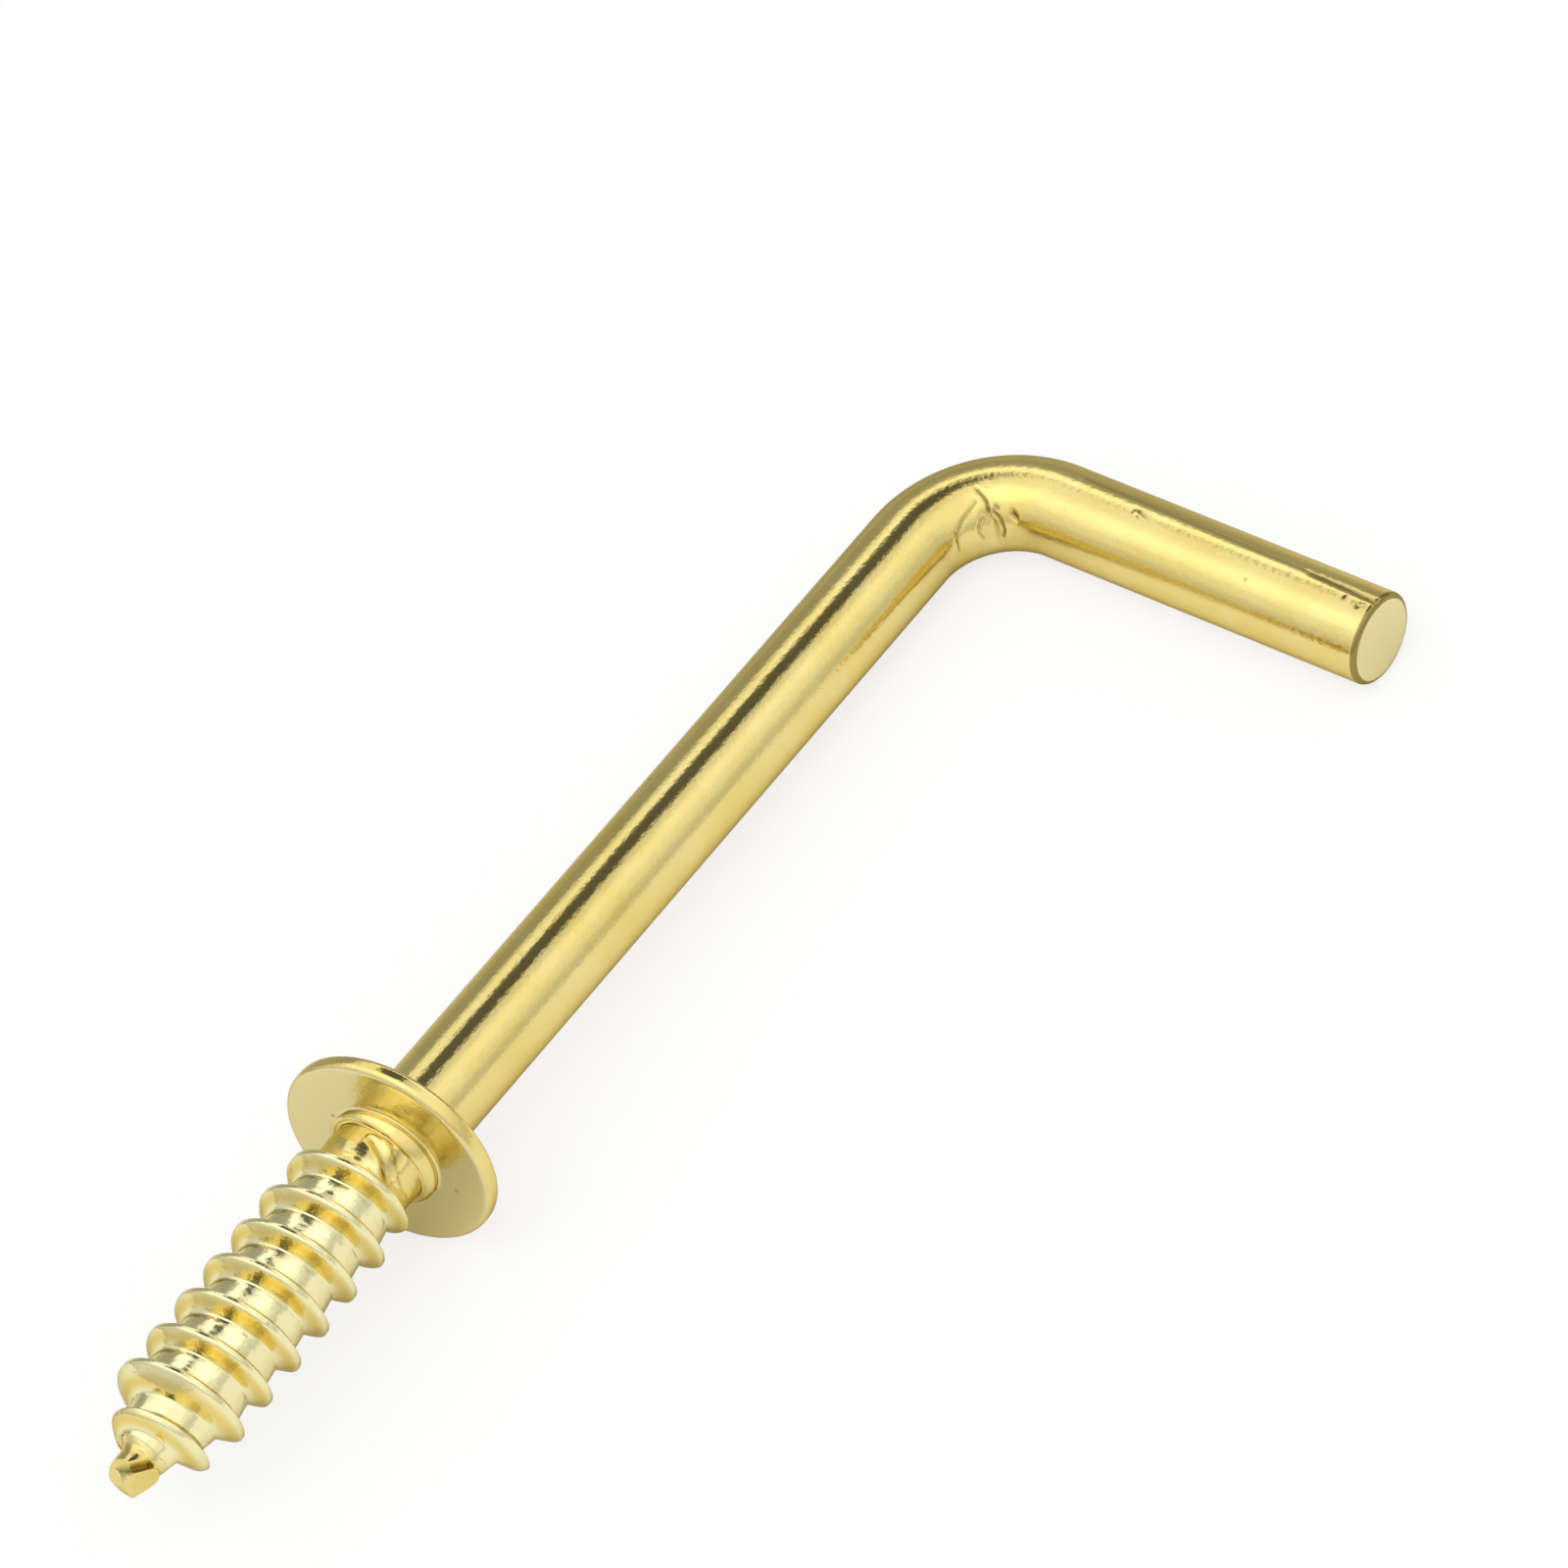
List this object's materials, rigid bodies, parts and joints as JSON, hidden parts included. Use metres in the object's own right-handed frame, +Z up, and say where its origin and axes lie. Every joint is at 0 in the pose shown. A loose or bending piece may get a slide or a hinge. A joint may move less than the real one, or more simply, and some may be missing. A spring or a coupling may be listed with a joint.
{
  "type": "square bend screw hook",
  "caption": "Wire screw hook bent square, with a shoulder collar and a coarse wood-screw thread, for hanging things from a shelf, beam or wall.",
  "frame": {"origin": "centre of the bounding box's underside, on the floor that the hook lies on", "axes": "+X from the screw's tip towards the bend, level, with the shank leaning 3.8 degrees down towards +X; the arm runs along -Y; +Z up"},
  "size_m": [0.071, 0.0296, 0.011],
  "materials": {
    "brass_plate": "bright brass plating over steel wire"
  },
  "bodies": {
    "root": {"screw_hook": "brass_plate"}
  },
  "joints": []
}
